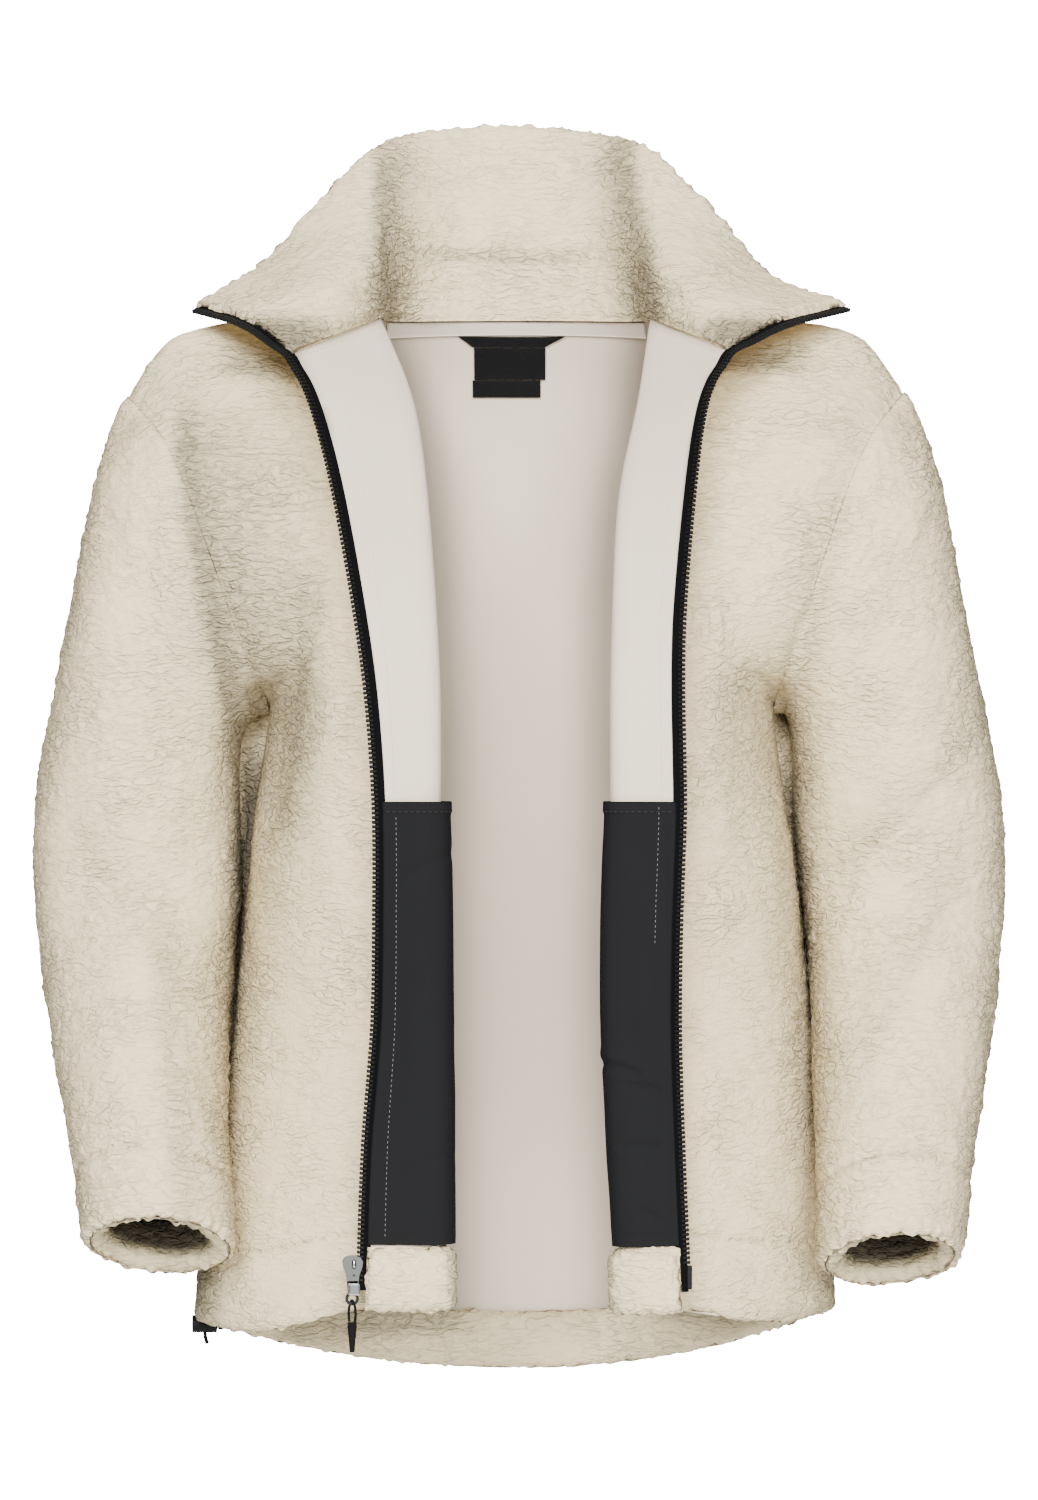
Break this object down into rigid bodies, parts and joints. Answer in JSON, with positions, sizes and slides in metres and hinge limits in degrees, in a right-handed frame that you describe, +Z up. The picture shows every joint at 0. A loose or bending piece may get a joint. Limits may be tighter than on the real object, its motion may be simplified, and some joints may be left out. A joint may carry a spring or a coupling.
{
  "type": "fleece jacket",
  "caption": "Hollow pile-fleece jacket with a stand collar, its zipped fronts folded back, inner pocket bags, turned-up hem and cuffs, and a hem drawcord with a spring lock.",
  "frame": {"origin": "midway between the two points where the shoulder seams meet the collar, where the wearer's neck and shoulders hold the jacket up", "axes": "+Z up, +X towards the wearer's left, -Y towards the front opening"},
  "size_m": [0.594, 0.2713, 0.774],
  "materials": {
    "fleece": "deep cream pile outside, smooth knit inside",
    "pocket": "thin plain cloth",
    "tape": "twill tape",
    "label": "satin, bare",
    "zip_tape": "woven tape",
    "zip_teeth": "moulded",
    "slider": "satin plated, bare",
    "bright": "bright plated",
    "dark_metal": "blackened",
    "cord": "braided",
    "grip": "moulded",
    "plastic": "moulded"
  },
  "bodies": {
    "jacket": {"back": "fleece", "back_lower": "fleece", "collar_inner": "fleece", "collar_outer": "fleece", "cord_lock": "plastic", "cord_lock_button": "plastic", "cuff_left": "fleece", "cuff_right": "fleece", "drawcord": "cord", "front_left": "fleece", "front_right": "fleece", "hem_back": "fleece", "hem_left": "fleece", "hem_right": "fleece", "insertion_pin": "zip_teeth", "label_base": "label", "label_lower": "label", "label_upper": "label", "neck_tape": "tape", "pocket_left": "pocket", "pocket_right": "pocket", "retainer_box": "bright", "sleeve_left": "fleece", "sleeve_left_lower": "fleece", "sleeve_left_middle": "fleece", "sleeve_right": "fleece", "sleeve_right_lower": "fleece", "sleeve_right_middle": "fleece", "slider": "slider", "zip_chain_left": "zip_teeth", "zip_chain_right": "zip_teeth", "zip_tape_left": "zip_tape", "zip_tape_right": "zip_tape"},
    "pull": {"pull_tab": "dark_metal", "puller_cord": "cord", "puller_grip": "grip"}
  },
  "joints": [
    {"name": "pull_hinge", "type": "hinge", "parent": "jacket", "child": "pull", "pos_m": [-0.09729, -0.14113, -0.564], "axis": [0.9958, 0.0912, 0], "range_deg": [0, 40]}
  ]
}
